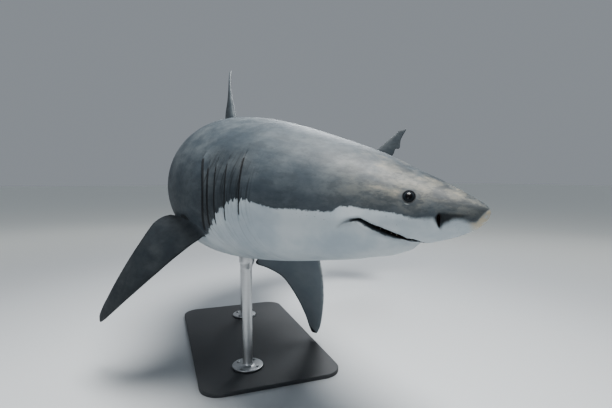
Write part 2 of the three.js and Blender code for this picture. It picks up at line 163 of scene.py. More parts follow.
def body_values(at):
    """Half width, widest height, top, bottom, and the two powers, each smooth over sqrt(at)."""
    root = np.sqrt(np.clip(at, 0, BODY_END))
    return [smooth(np.sqrt(BODY[:, 0]), BODY[:, k], root) for k in range(1, 7)]


def section(at, turn):
    """left = width * cos^(2/n), up = middle + height * sin^(2/n), with the signs kept."""
    width, middle, top, bottom, above, below = body_values(at)
    c, s = np.cos(turn), np.sin(turn)
    power = 2 / np.where(s >= 0, above, below)
    height = np.where(s >= 0, top - middle, middle - bottom)
    return width * np.sign(c) * np.abs(c) ** power, middle + height * np.sign(s) * np.abs(s) ** power


def half_width(at, up):
    """The section solved for left: width * (1 - share^n)^(1/n), share being how high up the cut is."""
    width, middle, top, bottom, above, below = body_values(at)
    power = np.where(up >= middle, above, below)
    share = np.clip(np.abs((up - middle) / np.where(up >= middle, top - middle, bottom - middle)), 0, 1)
    return width * (1 - share ** power) ** (1 / power)


def over_skin(points):
    """Metres outside the plain body: distance from the section's middle times the share sticking out."""
    at, left, up = unbend(points.reshape(-1, 3))
    width, middle, top, bottom, _, _ = body_values(at)
    height = np.where(up > middle, top - middle, middle - bottom)
    ratio = np.maximum(np.hypot(left / width, (up - middle) / height), 1e-6)
    return ((1 - 1 / ratio) * np.hypot(left, up - middle) * UNIT).reshape(points.shape[:-1])


print("widest:", round(2 * BODY[:, 1].max() * UNIT, 3), "m")

# %% [markdown]
# ## Closed surfaces from grids
# Every new piece is a grid of points: rows along it and columns round it, with a fan at each end. numpy
# works out all points at once. A negative volume means inside out, and then the faces are turned.

# %% From a grid to a mesh
def read(items, field, width=1, kind=np.int32):
    """A field of a Blender list as a numpy array, width numbers to an item."""
    numbers = np.zeros(len(items) * width, kind)
    items.foreach_get(field, numbers)
    return numbers.reshape(-1, width) if width > 1 else numbers


def closed_mesh(name, grid, values=None):
    """A (rows, sides, 3) grid becomes quads, the last column joins the first, and each end closes on its
    middle point. values are numbers per grid point, kept on the face corners."""
    rows, sides, _ = grid.shape

    def with_ends(table):
        table = table.reshape(rows, sides, -1)
        return np.concatenate([table.reshape(rows * sides, -1), table[[0, -1]].mean(1)])

    points = with_ends(grid)
    here = np.arange(rows * sides).reshape(rows, sides)
    beside = np.roll(here, -1, 1)
    quads = np.stack([here[:-1], beside[:-1], beside[1:], here[1:]], -1).reshape(-1, 4)
    front = np.stack([0 * here[0] + rows * sides, beside[0], here[0]], -1)
    back = np.stack([0 * here[0] + rows * sides + 1, here[-1], beside[-1]], -1)
    thirds = np.concatenate([quads[:, [0, 1, 2]], quads[:, [0, 2, 3]], front, back])
    a, b, c = np.moveaxis((points - points.mean(0))[thirds], 1, 0)
    faces = quads.tolist() + front.tolist() + back.tolist()
    if (a * np.cross(b, c)).sum() < 0:
        faces = [face[::-1] for face in faces]
    mesh = bpy.data.meshes.new(name)
    mesh.from_pydata(points.tolist(), [], faces)
    mesh.shade_smooth()
    corner_points = read(mesh.loops, "vertex_index")
    for key, numbers in (values or {}).items():
        numbers = with_ends(numbers)[corner_points].astype(np.float32)
        kind, field = ("FLOAT", "value") if numbers.shape[-1] == 1 else ("FLOAT_VECTOR", "vector")
        mesh.attributes.new(key, kind, "CORNER").data.foreach_set(field, numbers.ravel())
    return mesh


def in_scene(data):
    """An object of the same name that shows a mesh, a light or a camera."""
    thing = bpy.data.objects.new(data.name, data)
    scene.collection.objects.link(thing)
    return thing


def joined(pieces):
    """All the pieces made one object, named like the first."""
    bpy.ops.object.select_all(action="DESELECT")
    for piece in pieces:
        piece.select_set(True)
    bpy.context.view_layer.objects.active = pieces[0]
    bpy.ops.object.join()
    return pieces[0]


# %% [markdown]
# ## Features of the head and flanks
# The mouth, eye, nostrils and gills are tables in the body's straight coordinates. They follow the solids,
# except that the mouth is about 3 mm lower in its middle and narrower at its front.

# %% Mouth, eye, nostril and gills as numbers
MOUTH = np.array([[43, -40], [48.5, -30.2], [53, -28.4], [57, -26.3], [64, -23.2], [70, -20.7],
                  [77.5, -17.8], [83.5, -14.4], [87, -13.6], [92, -14.2]])
MOUTH_CORNER, MOUTH_TAPER, MOUTH_OPEN = 92, 22, 12 * MM
LIP_START, LIP_TAPER = 45, 11
OPEN_AT_CORNER, OPEN_AT_LIP = 0.03, 0.3     # shares of the full opening
CREASE = np.array([[90, -13.9], [95, -15.2], [98.6, -16.8], [101.7, -19], [105.4, -22.4], [109, -27]])
EYE_AT, EYE_TURN = 51.9, np.radians(29.7)
EYE_RADIUS, EYE_DEPTH = 27 * MM, 19 * MM
EYE_LEFT, EYE_UP = section(np.array(EYE_AT), EYE_TURN)
NOSTRIL_AT, NOSTRIL_UP = 29.2, -10.5
# Foot of each slit's curve, top, bottom, forward bow; height of its flap and depth of the hollow behind it
# in mm, length of the hollow, end of the groove, and how far its painted shadow runs ahead and behind.
GILLS = np.array([
    [196, 38, -22, 7, 10, 7, 3.2, 1.2, 2.6, 3.6], [213, 32, -30, 8, 10, 7, 3.2, 1.2, 2.6, 3.4],
    [227, 30, -36, 9, 11, 7, 3.2, 1.2, 2.6, 3.4], [238, 28, -40, 11, 11, 7, 3.2, 1.4, 3.4, 3.8],
    [246, 38, -46, 17, 15, 20, 10, 2.3, 5.6, 9]])
GILL_MIDDLE, GILL_HALF, BOW_LIMIT = -2, 36, 1.7
FLAP_EDGE, GROOVE_START, GROOVE_RISE = -0.7, -0.3, 0.4
FLAP_LENGTH, GROOVE_DEPTH = 4.2, -26


def mouth_line(at):
    """Height of the mouth line in side view."""
    return smooth(*MOUTH.T, at)


def mouth_open(at):
    """Full in the front half, nearly nothing at the corner, and narrower again over the foremost lip."""
    by_corner = np.clip((MOUTH_CORNER - at) / MOUTH_TAPER, OPEN_AT_CORNER, 1)
    return MOUTH_OPEN * by_corner * np.clip((at - LIP_START) / LIP_TAPER, OPEN_AT_LIP, 1)


def gill_bow(at, up):
    """How far the gill curves shift a place backwards: bow * square of the height from their middle,
    levelling off above and below them."""
    bow = np.interp(at, [185, *GILLS[:, 0], 285], [0, *GILLS[:, 3], 0])
    return bow * BOW_LIMIT * np.tanh(((up - GILL_MIDDLE) / GILL_HALF) ** 2 / BOW_LIMIT)


def gill_relief(row, up):
    """Each slit's flap swells up to its edge and drops into a groove. row is the place before bowing."""
    total = np.zeros(np.broadcast(row, up).shape)
    for foot, top, bottom, _, flap, hollow, length, end, _, _ in GILLS:
        e = row - foot
        groove = np.interp(e, [FLAP_EDGE, GROOVE_START, end - GROOVE_RISE, end],
                           [flap, GROOVE_DEPTH, GROOVE_DEPTH, -hollow])
        shape = np.where(e < FLAP_EDGE, flap * np.exp((e - FLAP_EDGE) / FLAP_LENGTH),
                         np.where(e > end, -hollow * np.exp((end - e) / length), groove))
        total += shape * ramp(bottom - 5, bottom + 7, up) * ramp(top + 6, top - 8, up)
    return total * MM


def bump(distance, size):
    """A round bump: exp(-(distance / size)^2)."""
    return np.exp(-(distance / size) ** 2)


def eye_distance(at, left, up):
    """Straight distance from the middle of the nearer eye opening."""
    return np.sqrt((at - EYE_AT) ** 2 + (np.abs(left) - EYE_LEFT) ** 2 + (up - EYE_UP) ** 2)


print("gill slits:", len(GILLS), "eye at", EYE_AT, EYE_LEFT.round(1), EYE_UP.round(1))

# %% [markdown]
# ## The body's relief
# A sum of small swellings and hollows is pushed out along the skin's normals. The jaw is a swelling below
# the mouth line, with a soft lip over it. The eye has a low rim under a brow, the nostril sits in a dent,
# and in front of the tail fin there is a pit above and below.

# %% Relief of the skin
# Each bump: height in mm, place and reach along the body, place and reach upwards.
CHEEK = (5, 104, 13, -20, 9)
BROW = (1.5, EYE_AT, 14, 18, 5)
DENT = (-5.5, NOSTRIL_AT - 3.5, 4, NOSTRIL_UP + 2, 4.5)
NOSTRIL_FLAP = (3, NOSTRIL_AT + 2.2, 1.8, NOSTRIL_UP, 5)
UPPER_PIT, LOWER_PIT = (-9, 806, 9, 18, 6), (-9, 806, 9, -17, 6)
# The grid: first and last row and the step between rows of each plain stretch, and the rows at a slit.
ROW_STEPS = [(6, 44, 1.3), (44, 104, 0.95), (104, 185, 2.2), (262, 285, 3), (285, 400, 4.2), (400, 700, 6),
             (700, BODY_END, 4.5)]
SLIT_ROWS = [-3, -2, -1.2, -0.7, -0.3, 0.05, 0.4, 0.9, 1.5, 2.3, 3.2]
BODY_SIDES = 160


def relief(at, left, up, row):
    """Outward push of each place of the body, in thousandths of the length."""
    def swell(height, place, reach, middle, reach_up):
        return height * bump(at - place, reach) * bump(up - middle, reach_up)

    above_mouth = up - mouth_line(at)
    by_mouth = ramp(48, 53, at) * ramp(100, 88, at) * ramp(30, 12, np.abs(above_mouth))
    lips = 3.6 * np.exp((1.3 - np.hypot(above_mouth, 1.3)) / np.where(above_mouth > 0, 2.8, 6))
    chin = 11.5 * ramp(60, 68, at) * ramp(97, 76, at) - 16 * ramp(62, 57, at) * ramp(44, 50, at)
    chin = chin * ramp(-0.5, -6, above_mouth)
    crease = -4.5 * (at > CREASE[0, 0]) * bump(up - smooth(*CREASE.T, at), 0.9) * ramp(109, 99, at)
    rim = 0.9 * bump(eye_distance(at, left, up) - 22 * MM, 6 * MM) * ramp(2, -4, up - EYE_UP)
    pits = (swell(*UPPER_PIT) + swell(*LOWER_PIT)) * bump(left, 9)
    bumps = swell(*CHEEK) + swell(*BROW) + swell(*DENT) + swell(*NOSTRIL_FLAP)
    return (lips * by_mouth + chin + crease + rim + bumps + pits) * MM + gill_relief(row, up)


def body_grid():
    """Rows crowd at the snout, the mouth and each gill slit, and are bowed along the gill curves, so that
    the slits follow the rows. Columns crowd on the flanks."""
    feet = GILLS[:, 0]
    spread = np.arange(186, 262, 2.4)
    spread = spread[np.abs(spread[:, None] - feet).min(1) > 4]
    rows = np.concatenate([0.05 * np.arange(1, 11) ** 2, *(np.arange(*part) for part in ROW_STEPS),
                           (feet[:, None] + SLIT_ROWS).ravel(), spread, [BODY_END]])
    rows = np.unique(rows)[:, None]
    angle = 2 * np.pi * np.arange(BODY_SIDES) / BODY_SIDES
    angle = (angle - 0.15 * np.sin(2 * angle))[None]
    _, plain_up = section(rows + 0 * angle, angle + 0 * rows)
    at = rows + gill_bow(rows, plain_up)
    left, up = section(at, angle + 0 * at)
    straight = np.stack([-at, left, up], -1)
    across = np.roll(straight, -1, 1) - np.roll(straight, 1, 1)
    normal = unit(np.cross(np.gradient(straight, axis=0), across))
    normal *= np.sign(normal[..., 1] * left + normal[..., 2] * (up + 4))[..., None]
    straight += normal * (relief(at, left, up, rows + 0 * at) * ramp(0, 4, at))[..., None]
    return -straight[..., 0], straight[..., 1], straight[..., 2], rows + 0 * at


body_places = body_grid()
print("body grid:", body_places[0].shape)

# %% [markdown]
# ## Colour zones, as numbers on the skin
# A white shark is slate above and white below. The mesh stores how far each point is above the line
# between, a table along the body. That varies smoothly, and the material later makes it sharp and ragged.
# Small dark and pale marks are stored the same way, among them painted shadow and shade by the gill slits
# and ahead of the nostrils.

# %% The colour line and the marks
COLOUR_LINE = np.array([
    [0, -0.5], [0.8, -0.9], [2.6, -3.6], [4.7, -6.8], [6.8, -10.4], [8.6, -10.8], [10.5, -10.2], [14, -8.5],
    [17.4, -8], [21, -8.8], [23.4, -10.7], [26.6, -12.5], [28.4, -16.3], [29.6, -16], [30.3, -11.6],
    [31.5, -9.8], [33.5, -8.6], [38.8, -8.8], [44, -9.5], [48.3, -9.2], [51.8, -8.3], [55.4, -7.4],
    [60, -6.4], [71, -5.8], [83, -4.2], [94, -3.4], [102, -4], [107, -8], [112, -9.5], [117, -8.5],
    [142, -9.5], [157, -10], [171, -8], [185, -6], [198, -4], [207, -8], [215, -12], [233, -24], [246, -38],
    [262, -48], [280, -52], [320, -54], [400, -50], [480, -46], [560, -38], [620, -27], [680, -16],
    [740, -10], [800, -6], [898, -5]])
AXIL_BLOTCH = (315, -36.5)
FAR_FROM_MOUTH, FAR_FROM_EYE = 60, 90      # mm
# Slant and foot of the lower edge of the painted shade ahead of each nostril.
NOSTRIL_SHADE_SLANT, NOSTRIL_SHADE_FOOT = 0.42, 13.9


def body_marks(at, left, up, row):
    """line and mouth: millimetres above the colour line and the mouth. eye: millimetres from the eye.
    dark, pale, fin and shade: 0 to 1. place: the straight position, in metres."""
    slit = np.abs(row[..., None] - GILLS[:, 0] - 1).argmin(-1)
    foot, top, bottom, *_, ahead, behind = np.moveaxis(GILLS[slit], -1, 0)
    e = row - foot
    in_height = ramp(bottom - 1, bottom + 6, up) * ramp(top + 1, top - 6, up)
    # Painted shadow along each gill slit; the colour line is lifted there too, so the slate runs down the
    # slit.
    dark = ramp(-ahead, -0.3 * ahead, e) * ramp(behind, 0.25 * behind, e) * in_height
    line = (up - np.interp(at, *COLOUR_LINE.T)) / MM + 38 * bump(e, 1.5) * in_height
    blotch = ramp(13, 7, np.hypot((at - AXIL_BLOTCH[0]) / 1.35, (up - AXIL_BLOTCH[1]) * 1.8))
    # Painted shade ahead of each nostril: a dark wedge over the groove in front of it.
    nostril_shade_patch = (ramp(8, 18, at) * ramp(31, 29, at) * ramp(-2.8, -5.2, up)
             * ramp(-7.4, -4.8, up + NOSTRIL_SHADE_SLANT * (at - NOSTRIL_SHADE_FOOT)))
    # Painted shade over the gill region, where the flaps lie between the slits.
    gill_fold_shade = 0.4 * ramp(186, 200, at) * ramp(262, 246, at) * ramp(60, 30, up)
    lips = np.where(at < MOUTH_CORNER, mouth_line(at), smooth(*CREASE.T, at))
    return {"line": line, "dark": np.maximum(dark, blotch), "pale": 0 * at, "fin": 0 * at,
            "shade": np.maximum(0.92 * nostril_shade_patch, gill_fold_shade),
            "mouth": np.clip((up - lips) / MM, -FAR_FROM_MOUTH, FAR_FROM_MOUTH),
            "eye": np.clip(eye_distance(at, left, up) / MM, 0, FAR_FROM_EYE),
            "place": np.stack([at, left, up], -1) * UNIT}


body = closed_mesh("skin", bend(*body_places[:3]), body_marks(*body_places))
print("body mesh:", len(body.polygons), "faces")

# %% [markdown]
# ## Fins
# A fin is a row of ribs from inside the body to the tip. Each rib says where its front and rear ends are
# and how thick it is, and its cut is that of a wing: 2.6 * sqrt(x) * (1 - x). Near the body the thickness
# grows as exp(-distance), which makes the hollow fillet of a real fin's root.

# %% One fin surface
FIN_EDGE = 0.9 * MM


def fin_grid(ribs, rows, sides, put, fillet):
    """Columns go round the rib's cut, rows go out along the ribs. put(a, b, side) places a point. Gives the
    grid, and each point's share of the way back and of the way out, and its side."""
    ribs = np.asarray(ribs, float)
    k = np.linspace(0, len(ribs) - 1, rows)[:, None]
    a0, b0, a1, b1, thickness = (smooth(np.arange(len(ribs)), ribs[:, c], k) for c in range(5))
    turn = 2 * np.pi * (np.arange(sides)[None] + 0.5) / sides
    x = np.clip(0.5 - 0.5 * np.cos(turn) / np.cos(np.pi / sides), 0, 1)
    a, b = a0 + (a1 - a0) * x, b0 + (b1 - b0) * x
    half = thickness * 1.3 * np.sqrt(x) * (1 - x) + FIN_EDGE
    away = np.maximum(over_skin(put(a, b, 0 * a)), 0) / UNIT
    half = half + fillet * np.exp(-away / fillet) * np.sqrt(np.sin(np.pi * np.clip(x / 0.8, 0.02, 1)))
    side = np.sign(np.sin(turn)) + 0 * a
    return put(a, b, side * half), x + 0 * a, k / (len(ribs) - 1) + 0 * a, side


# %% [markdown]
# The fins in the middle plane bend with the body, and the keels lie flat. The paired fins are stiff blades
# held by the shoulder and hip, which droop, curl and twist.

# %% Rib tables
FIRST_DORSAL = [
    [381, 74, 467, 72, 17], [382, 94, 474, 90, 17], [392, 104, 502, 97, 15.5], [405, 119, 492, 106.5, 14],
    [421, 138, 478, 124, 8], [438, 157, 475, 145, 4.2], [456, 175, 477, 166, 3], [472, 188, 482, 183, 2.2],
    [483.5, 193, 485, 192, 1]]
SECOND_DORSAL = [
    [693, 28, 707, 26, 5], [696, 42.5, 711, 40.5, 4.5], [702, 50, 721, 43.5, 3.2], [708, 55.5, 716, 51, 2],
    [713, 58.5, 714.5, 57.5, 0.6]]
ANAL = [
    [713, -26, 726, -24, 5], [716, -39.5, 730, -36.5, 4.5], [722, -47, 740, -40, 3.2],
    [728, -52.5, 736, -48, 2], [733, -55.5, 734.5, -54.5, 0.6]]
UPPER_LOBE = [
    [800, -3, 901, -3, 14], [806, 13, 908, 13, 14], [832, 33, 922, 34, 12], [865, 53, 941, 54, 10],
    [902, 76.5, 958.5, 72, 8], [939.5, 99, 978.5, 87, 6.5], [965, 122, 984.5, 102.5, 5],
    [981, 136, 991, 103.5, 4], [991, 146.5, 995, 107.5, 3.5], [1002, 149, 996.5, 126.5, 2.5],
    [1007.5, 151.7, 1007.8, 150.7, 0.6]]
LOWER_LOBE = [
    [800, 3, 901, 3, 14], [806, -15, 905, -10, 14], [822, -36, 913, -30, 12],
    [845, -60, 924, -53, 9.5], [875, -82, 935, -76, 7], [908, -101, 944, -97, 5], [935, -114, 950, -111, 3],
    [951, -121, 953.5, -120, 0.8]]
KEELS = [
    [806, -30.5, 822, -30.5, 0.8], [790, -28.5, 846, -27, 2.2], [768, -22, 862, -17, 4.5],
    [752, 0, 868, 0, 6], [768, 22, 862, 17, 4.5], [790, 28.5, 846, 27, 2.2], [806, 30.5, 822, 30.5, 0.8]]
PECTORAL = [
    [-24, -7, -24, 50, 15], [-6, -1, -6, 60, 15], [6, 2, 4, 90, 13], [20, 8.4, 11, 108.2, 12],
    [42, 17.9, 27, 98.2, 10.5], [72, 32.6, 54, 92.7, 9], [105, 54.6, 92, 97.7, 7],
    [134, 79.8, 126, 108.8, 5], [154, 100.7, 150, 121, 3.5], [164, 113.4, 162, 126.2, 2],
    [168, 119.8, 167, 123.6, 0.8]]
PELVIC = [
    [-14, -4, -14, 34, 7], [0, 0, 0, 40, 6.5], [9, 6, 4, 58, 5], [20, 15, 15, 55, 4], [32, 28, 28, 51, 2.5],
    [40, 40, 38, 49, 1.5], [42, 45, 41.5, 48, 0.6]]

# How each paired fin is held: place on the body, droop and curl, sweep, and twists at shares of the span.
TWIST_PLACES = [0, 0.12, 0.4, 1]
PELVIC_HOLD = dict(root=(558, 40, -56), droop=38, curl=8, sweep=0, twist=(4, 4, 3, 2), span=42)
HOLDS = {
    "pectoral_right": dict(side=-1, root=(276.9, 76, -50.2), droop=51.5, curl=21.3, sweep=5.2,
                           twist=(10.1, 18.5, 19.1, 10.6), span=165),
    "pectoral_left": dict(side=1, root=(277.6, 76, -55.9), droop=62, curl=-13.3, sweep=-6.3,
                          twist=(-30.3, -42, -34.4, -34.8), span=165),
    "pelvic_right": dict(side=-1, **PELVIC_HOLD), "pelvic_left": dict(side=1, **PELVIC_HOLD)}


def blade(side, root, droop, curl, sweep, twist, span):
    """Places a point of a paired fin. The blade is swept in its own plane, follows an arc that droops and
    curls on, and is turned about its span by the twist."""
    at, left, up = root
    droop, curl, sweep = np.radians([droop, curl, sweep])
    rate = curl / span

    def put(out, chord, push):
        along = out * np.cos(sweep) - chord * np.sin(sweep)
        back = out * np.sin(sweep) + chord * np.cos(sweep)
        share = np.clip(along / span, 0, 1)
        turn = np.radians(smooth(TWIST_PLACES, twist, share))
        lean = droop + curl * share
        rise = back * np.sin(turn) + push * np.cos(turn)
        outward = (np.sin(droop + rate * along) - np.sin(droop)) / rate + rise * np.sin(lean)
        downward = (np.cos(droop) - np.cos(droop + rate * along)) / rate - rise * np.cos(lean)
        return bend(at, side * (left + outward), up - downward, back * np.cos(turn) - push * np.sin(turn))

    return put


def upright(at, up, side):
    """A fin in the middle plane, its thickness to the left and right."""
    return bend(at, side, up)


# %% [markdown]
# Fins carry the same marks as the body. The paired fins are slate above and white below, so their side
# takes the place of the colour line. Rear rims are dusky, and the pectoral tips black underneath. The left
# pectoral's front edge has pale flecks, a painted highlight.

# %% Fin marks
FAR_FROM_LINE, BLADE_LIFT = 60, 20      # mm; the lift turns the edge of a blade slate


def fin_marks(grid, x, out, side, both_sides=True, tip=False, worn=False):
    """line: +-60 mm by the side of the blade, or 60 on both. dark: the rear rim and the tip's underside.
    pale: pale flecks on the front edge, a painted highlight. shade: how dusky the blade is."""
    line = np.full_like(x, FAR_FROM_LINE)
    if not both_sides:
        line = FAR_FROM_LINE * side * np.sqrt(np.clip(x * (1 - x) * 6, 0, 1)) + BLADE_LIFT * (1 - worn)
    rear = 0.62 * ramp(0.91, 0.99, x) * ramp(0.1, 0.3, out)
    black_tip = tip * ramp(0.84, 0.94, out + 0.24 * (x - 0.5)) * (side < 0)
    pale = worn * ramp(0.034, 0.008, x) * ramp(0.06, 0.14, out) * ramp(0.92, 0.75, out)
    dusky = 0.35 if both_sides else np.where(side > 0, 0.8, 0.7 * tip)
    place = np.stack(unbend(grid.reshape(-1, 3)), -1).reshape(grid.shape) * UNIT
    return {"line": line, "dark": np.maximum(rear, black_tip), "pale": pale, "fin": 1 + 0 * x,
            "shade": dusky * ramp(0.02, 0.25, out), "mouth": FAR_FROM_MOUTH + 0 * x,
            "eye": FAR_FROM_EYE + 0 * x, "place": place}


def make_fin(name, ribs, rows, sides, put, fillet, **marks):
    grid, *places = fin_grid(ribs, rows, sides, put, fillet * MM)
    return closed_mesh(name, grid, fin_marks(grid, *places, **marks))


# Name, ribs, rows, columns, how it stands, and its fillet in mm.
MIDDLE_FINS = [
    ("first_dorsal", FIRST_DORSAL, 56, 44, upright, 15),
    ("second_dorsal", SECOND_DORSAL, 20, 24, upright, 6), ("anal", ANAL, 20, 24, upright, 6),
    ("upper_lobe", UPPER_LOBE, 70, 40, upright, 8), ("lower_lobe", LOWER_LOBE, 50, 40, upright, 8),
    ("keels", KEELS, 60, 24, bend, 10)]
fins = [make_fin(*form) for form in MIDDLE_FINS]
for name, hold in HOLDS.items():
    large = name.startswith("pectoral")
    form = (PECTORAL, 80, 48, blade(**hold), 15) if large else (PELVIC, 28, 28, blade(**hold), 8)
    # The left pectoral gets pale flecks of painted highlight along its front edge.
    fins.append(make_fin(name, *form, both_sides=False, tip=large, worn=name == "pectoral_left"))
print("fins:", {mesh.name: len(mesh.polygons) for mesh in fins})

# %% [markdown]
# ## One skin
# Body and fins are closed, so a boolean union joins them and their inner walls vanish. The mouth, the
# nostrils and the eye sockets are cut out. Each cutter brings its own near-black material, so the new walls
# show painted shadow. The marks on the face corners survive.

# %% Join the body and the fins
FIRST_CUTTER = 50      # the body is part 0, the fins are parts 1 to 10, the cutters 50 to 54


def numbered(mesh, finish, part):
    """An object with one material and the part's number on each face."""
    mesh.materials.append(finish)
    mesh.attributes.new("part", "INT", "FACE").data.foreach_set("value", np.full(len(mesh.polygons), part))
    return in_scene(mesh)


def combine(piece, other, operation):
    """Applies one boolean to the piece. The other object is thrown away."""
    modifier = piece.modifiers.new(operation.lower(), "BOOLEAN")
    modifier.object = other
    modifier.operation = operation
    modifier.solver = "MANIFOLD"
    modifier.material_mode = "TRANSFER"
    graph = bpy.context.evaluated_depsgraph_get()
    mesh = bpy.data.meshes.new_from_object(piece.evaluated_get(graph))
    piece.modifiers.clear()
    piece.data = mesh
    bpy.data.objects.remove(other)


skin_finish = bpy.data.materials.new("shark_skin")
cut_wall_shadow_finish = bpy.data.materials.new("cut_wall_shadow")
skin = numbered(body, skin_finish, 0)
for number, mesh in enumerate(fins):
    combine(skin, numbered(mesh, skin_finish, number + 1), "UNION")
print("after the union:", len(skin.data.polygons), "faces")

# %% [markdown]
# A thin curved slab cuts the mouth, right through the head, a slim ellipsoid stood on edge a nostril, and a
# ball a hair larger than the eye its socket.

# %% Cutters
SOCKET_GAP = 0.5 * MM
SLAB_HALF = 75


def mouth_cutter():
    """Rows go back along the mouth, columns round the slab: the line plus and minus half the opening."""
    at = np.linspace(MOUTH[0, 0], MOUTH_CORNER + 1.5, 70)
    middle = mouth_line(np.minimum(at, MOUTH_CORNER))
    half = mouth_open(np.minimum(at, MOUTH_CORNER)) / 2 * np.sqrt(np.clip((at[-1] - at) / 6, 0.02, 1))
    left = SLAB_HALF * np.array([-1, -1 / 3, 1 / 3, 1, 1, 1 / 3, -1 / 3, -1])
    side = np.array([1, 1, 1, 1, -1, -1, -1, -1])
    return bend(at[:, None] + 0 * left, left + 0 * at[:, None], middle[:, None] + side * half[:, None])


def outward_frame(at, turn, side):
    """A point of the skin, and its outward, backward and upward directions there."""
    def on(place, angle):
        left, up = section(np.array(place), angle)
        return bend(place, side * left, up)

    here = on(at, turn)
    back = unit(on(at + 1, turn) - here)
    outward = unit(np.cross(back, on(at, turn + 0.02) - here))
    outward *= np.sign(outward @ on_spine(LEFT, at) * side)
    upward = np.cross(outward, back)
    return here, outward, back, upward * np.sign(upward[2])


def ball_grid(rows, sides):
    """Points of the unit sphere: rows from pole to pole along its third axis."""
    lat = np.linspace(0, np.pi, rows + 2)[1:-1, None]
    lon = 2 * np.pi * np.arange(sides)[None] / sides
    return np.stack([np.sin(lat) * np.cos(lon), np.sin(lat) * np.sin(lon), np.cos(lat) + 0 * lon], -1)


def nostril_cutter(side):
    """A flattened ellipsoid, 48 mm tall, 9 mm wide and 36 mm deep, wide above and a slit below, its ends
    swept forward."""
    here, outward, back, upward = outward_frame(NOSTRIL_AT, -np.arcsin(0.16), side)
    out, across, up = np.moveaxis(ball_grid(24, 20)[..., None], 2, 0)
    tall, wide, deep, sweep, swell = 0.024, 0.0046, 0.018, 0.002, 0.85
    middle = here - 0.002 * outward + 0.004 * upward
    return (middle + out * deep * outward + (across * wide * (1 + swell * up) - sweep * up ** 2) * back
            + up * tall * upward)


def eye_ball(side, radius):
    """A ball with its pole pointing outwards, its middle a set depth under the skin."""
    here, outward, back, upward = outward_frame(EYE_AT, EYE_TURN, side)
    ball = ball_grid(40, 64)
    middle = here - outward * EYE_DEPTH * UNIT
    return middle + radius * (ball[..., 2:] * outward + ball[..., :1] * back + ball[..., 1:2] * upward)


cutters = [mouth_cutter()] + [nostril_cutter(side) for side in (-1, 1)]
cutters += [eye_ball(side, (EYE_RADIUS + SOCKET_GAP) * UNIT) for side in (-1, 1)]
for number, grid in enumerate(cutters):
    cutter = numbered(closed_mesh("cutter", grid), cut_wall_shadow_finish, FIRST_CUTTER + number)
    combine(skin, cutter, "DIFFERENCE")
print("after the cuts:", len(skin.data.polygons), "faces")

# %% [markdown]
# ## Softening the seams
# The union leaves a hard line where a fin meets the body, and the cuts leave sharp lips. The points near
# such a line are relaxed: each moves a few times towards the average of its neighbours, less the farther
# it is from the line.

# %% Relax near the seams
PULL = 0.6                 # share of the way to the neighbours' average, on the line itself
PAIRS_AT_ONCE = 4000000
# First and last part whose edge with a lower part is a seam, how far it is softened in metres, rounds.
SEAMS = [(7, 8, 0.035, 14), (1, 1, 0.045, 20), (9, 10, 0.02, 12), (2, 6, 0.02, 12),
         (FIRST_CUTTER, FIRST_CUTTER, 0.007, 5), (FIRST_CUTTER + 1, FIRST_CUTTER + 4, 0.005, 4)]


def relax(points, edges, strength, rounds):
    """points += strength * (average of the neighbours - points), repeated."""
    both = np.concatenate([edges, edges[:, ::-1]])
    count = np.maximum(np.bincount(both[:, 0], minlength=len(points)), 1)[:, None]
    for _ in range(rounds):
        total = np.stack([np.bincount(both[:, 0], points[both[:, 1], k], len(points)) for k in range(3)], 1)
        points = points + strength[:, None] * (total / count - points)
    return points


def near(points, line, reach):
    """1 on the line's points, fading to 0 at the reach."""
    nearest = np.full(len(points), np.inf)
    in_box = (points > line.min(0) - reach) & (points < line.max(0) + reach)
    chosen = np.flatnonzero(in_box.all(1))
    for part in np.array_split(chosen, len(chosen) * len(line) // PAIRS_AT_ONCE + 1):
        nearest[part] = np.sqrt(((points[part][:, None] - line) ** 2).sum(-1).min(1))
    return ramp(reach, 0, nearest)


def soften(mesh):
    """Finds the lowest and highest part at each point, and relaxes round the seams."""
    points = read(mesh.vertices, "co", 3, np.float32).astype(float)
    edges = read(mesh.edges, "vertices", 2)
    corner_point = read(mesh.loops, "vertex_index")
    corner_part = np.repeat(read(mesh.attributes["part"].data, "value"), read(mesh.polygons, "loop_total"))
    low = np.full(len(points), corner_part.max())
    high = np.zeros(len(points), int)
    np.minimum.at(low, corner_point, corner_part)
    np.maximum.at(high, corner_point, corner_part)
    for first, last, reach, rounds in SEAMS:
        seam = points[(low != high) & (high >= first) & (high <= last)]
        points = relax(points, edges, near(points, seam, reach) * PULL, rounds)
    mesh.vertices.foreach_set("co", points.ravel())
    mesh.shade_smooth()
    mesh.update()


soften(skin.data)
print("skin triangles:", (read(skin.data.polygons, "loop_total") - 2).sum())

FLESH = [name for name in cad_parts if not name.startswith(("stand_", "eye_"))]
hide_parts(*FLESH)
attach(skin, "root")

# %% [markdown]
# ## Eyes
# The eye looks black, but its iris is a very dark blue round a round pupil. The number `rim` on the ball
# is the angle from its pole, in quarter turns.

# %% Eyes
EYES = []
for side, word in ((-1, "right"), (1, "left")):
    grid = eye_ball(side, EYE_RADIUS * UNIT)
    rim = np.linspace(0, 2, len(grid) + 2)[1:-1, None] + np.zeros(grid.shape[:2])
    eye = in_scene(closed_mesh("eye_ball_" + word, grid, {"rim": rim}))
    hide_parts("eye_" + word)
    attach(eye, "root")
    EYES.append(eye)
print("eyes:", [eye.name for eye in EYES])

# %% [markdown]
# ## Teeth
# With the mouth nearly shut only the tips of the front teeth show, as a fine saw line in the dark slit.
# A tooth is a flat cone: its width and thickness shrink as (1 - t)^0.85 towards the point. All teeth of a
# jaw are made at once, as one array, spaced evenly along the curve of the lip.

# %% Teeth
TOOTH_SPACING, TOOTH_INSET, TOOTH_ROOT = 4.4, 6, 1.2
TOOTH_THICKNESS, TOOTH_CURVE = 0.17, 0.12      # shares of its width and of its height


